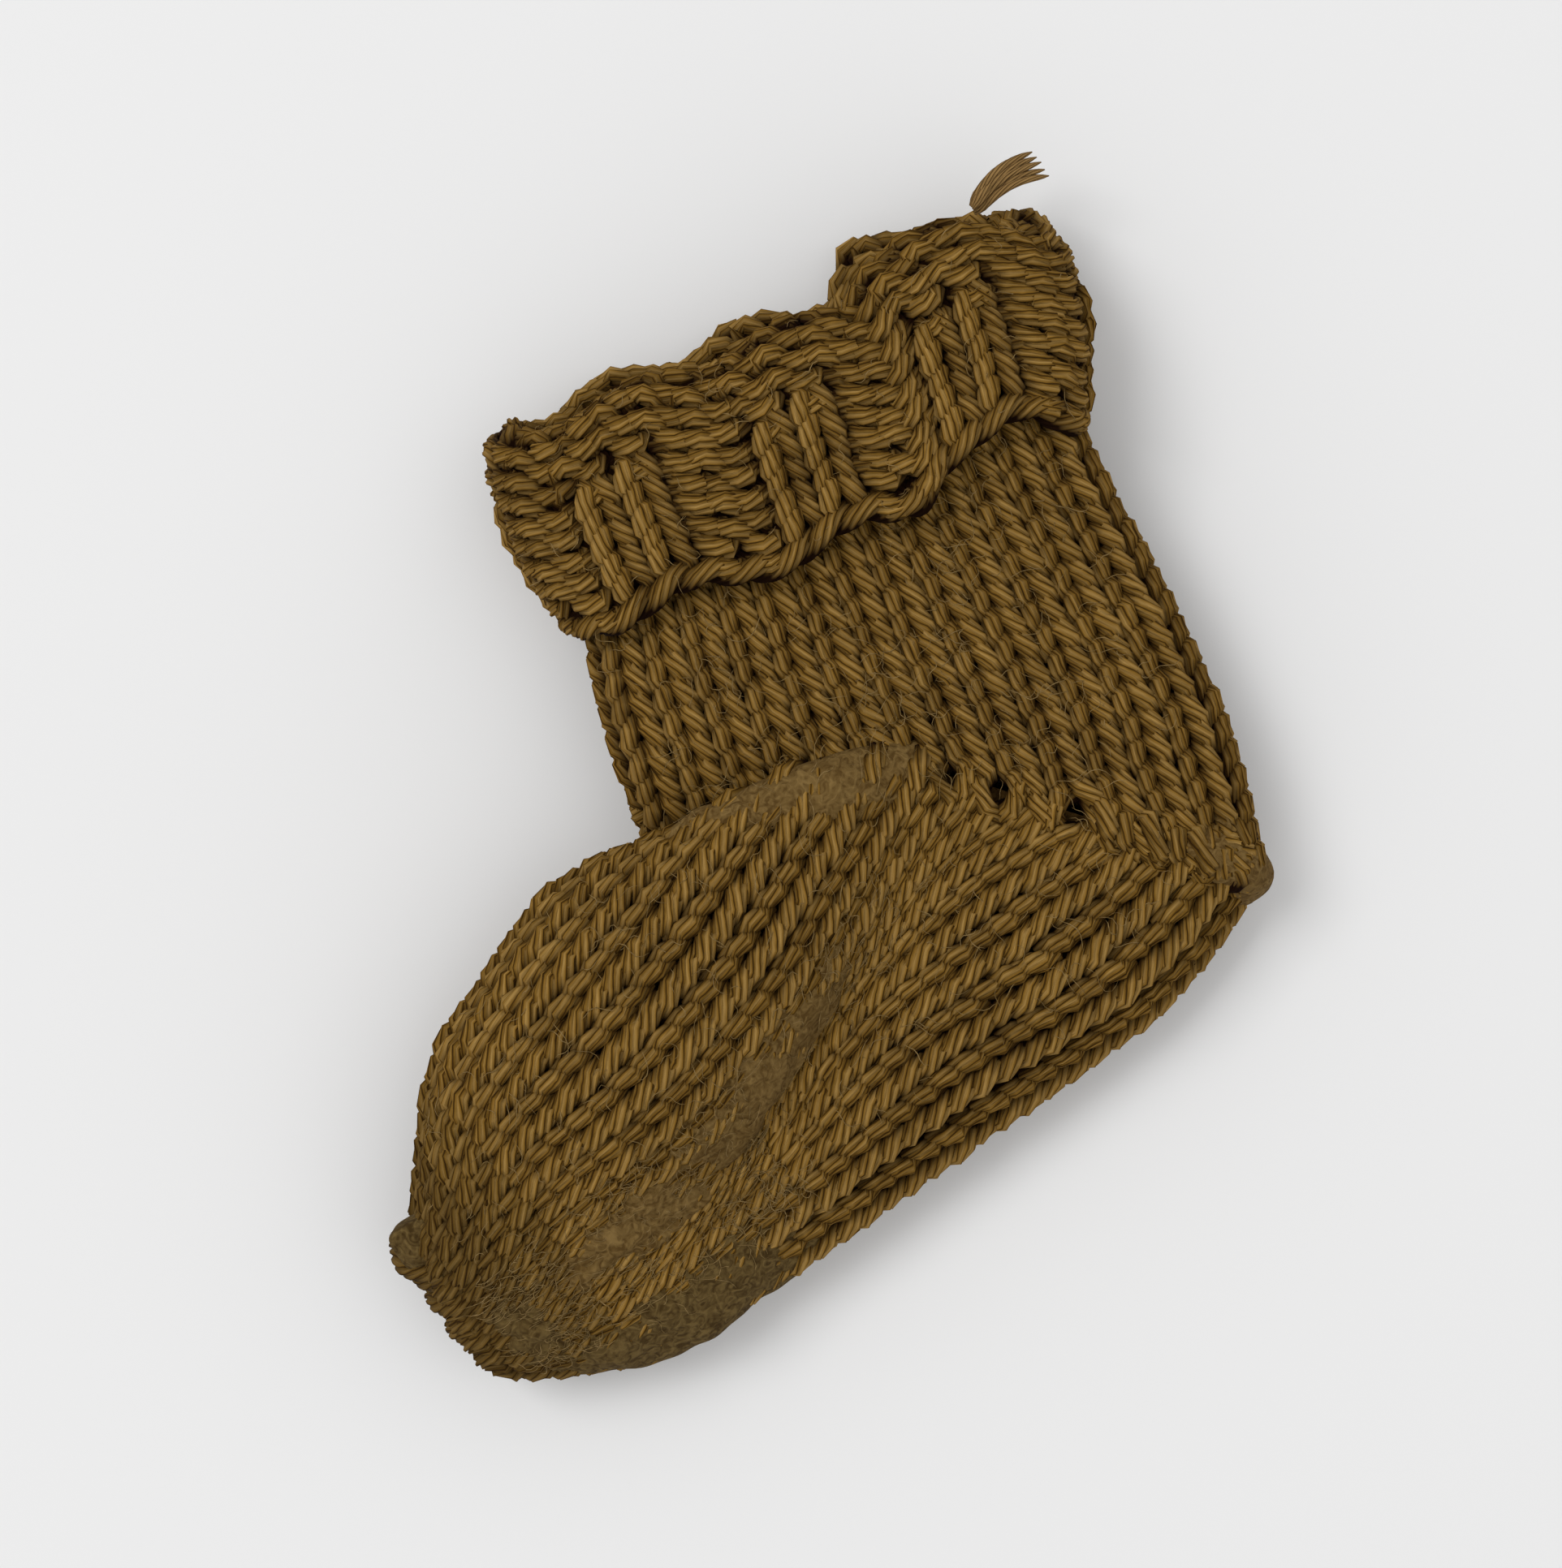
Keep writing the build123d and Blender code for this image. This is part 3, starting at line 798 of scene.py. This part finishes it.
lump = 1 + 0.05 * np.sin(3 * turn + 1) * np.cos(rise) + 0.04 * np.sin(5 * rise + 2 * turn)
nub = np.stack([lump * squared(rise, np.cos) * squared(turn, np.cos) * 3.4,
                lump * squared(rise, np.cos) * squared(turn, np.sin) * 2.7,
                lump * squared(rise, np.sin) * 3.2], -1).reshape(-1, 3)
nub_piece = sheet("felt_nub", nub + (-55.6, -21.3, 12.4), 33, 49, felted_toe)
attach(nub_piece, "foot")

# Dark sheet behind the stitches: painted shade for the inside of the bootie, seen only between the stitches
painted_shade_sheet = felt_material("painted_shade_sheet", light=(0.095, 0.050, 0.012), dark=(0.035, 0.016, 0.003))
w = np.linspace(0, FOOT_WALES, 105)
foot_skin = skin("foot_shade_sheet", foot, w, rows_at(foot.first, foot, w), rows_at(foot.last, foot, w))
w = np.linspace(0, LEG_WALES, 113)
leg_skin = skin("leg_shade_sheet", leg, w, leg_floor_row(w) + 0.8, np.full(len(w), LEG_HIGHEST + 1.0))
for piece in (foot_skin, leg_skin):
    place_bending(piece, "stockinette")
w = np.linspace(0, CUFF_WALES, 129)
cuff_skin = skin("cuff_shade_sheet", cuff, w, np.full(len(w), -4.5), np.full(len(w), CHAIN_ROW - 0.2))
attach(cuff_skin, "leg")

fibres = felt_material("loose_fibres", light=(0.30, 0.20, 0.08), dark=(0.15, 0.095, 0.032))
foot_fuzz = Bundle()
fuzz(foot_fuzz, foot, (1, 13), (-3.5, 26), 700)
for _, wales, rows, _, _ in zones:
    near = (wales[0], min(wales[1], 13))
    above_tip = (max(rows[0], -3.5), rows[1])
    fuzz(foot_fuzz, foot, near, above_tip, 350, rise=(1.5, 2.5))
foot_fuzz_piece = foot_fuzz.build("foot_fuzz", fibres)
place_bending(foot_fuzz_piece, "stockinette")
leg_fuzz = Bundle()
fuzz(leg_fuzz, leg, (1, 13), (-1, 13), 450)
leg_fuzz_piece = leg_fuzz.build("leg_fuzz", fibres)
place_bending(leg_fuzz_piece, "stockinette")
cuff_fuzz = Bundle()
fuzz(cuff_fuzz, cuff, (1, 14), (0, 9), 120, length=(1.5, 3.5), rise=(1.6, 2.2))
cuff_fuzz_piece = cuff_fuzz.build("cuff_fuzz", fibres)
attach(cuff_fuzz_piece, "leg")

# ---- Floor, light, camera -----------------------------------------------------------
floor_mesh = bpy.data.meshes.new("floor")
half = 3.0
floor_corners = [(-half, -half, 0), (half, -half, 0), (half, half, 0), (-half, half, 0)]
floor_mesh.from_pydata(floor_corners, [], [(0, 1, 2, 3)])
floor = bpy.data.objects.new("floor", floor_mesh)
bpy.context.scene.collection.objects.link(floor)
paper = bpy.data.materials.new("paper")
paper.use_nodes = True
paper.node_tree.nodes["Principled BSDF"].inputs["Base Color"].default_value = (0.83, 0.83, 0.83, 1)
paper.node_tree.nodes["Principled BSDF"].inputs["Roughness"].default_value = 0.9
floor_mesh.materials.append(paper)
floor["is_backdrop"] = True

world = bpy.data.worlds.new("studio")
bpy.context.scene.world = world
world.use_nodes = True
world.node_tree.nodes["Background"].inputs[0].default_value = (1, 1, 1, 1)
world.node_tree.nodes["Background"].inputs[1].default_value = 0.66


def area_light(name, place, size, energy):
    data = bpy.data.lights.new(name, "AREA")
    data.energy = energy
    data.size = size
    made = bpy.data.objects.new(name, data)
    bpy.context.scene.collection.objects.link(made)
    made.location = place
    made.rotation_euler = (Vector((0, 0, 0.01)) - made.location).to_track_quat("-Z", "Y").to_euler()


area_light("key", (-0.8, 1.3, 2.3), 1.3, 28.5)
area_light("fill", (0.9, -1.0, 2.6), 2.0, 6.5)

lens = bpy.data.cameras.new("camera")
camera = bpy.data.objects.new("camera", lens)
bpy.context.scene.collection.objects.link(camera)
bpy.context.scene.camera = camera
lens.lens = 85
lens.sensor_width = 36
camera.location = (0, 0, 0.40)
camera.rotation_euler = (0, 0, radians(-32))
bpy.context.scene.view_settings.view_transform = "Standard"

low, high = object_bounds()
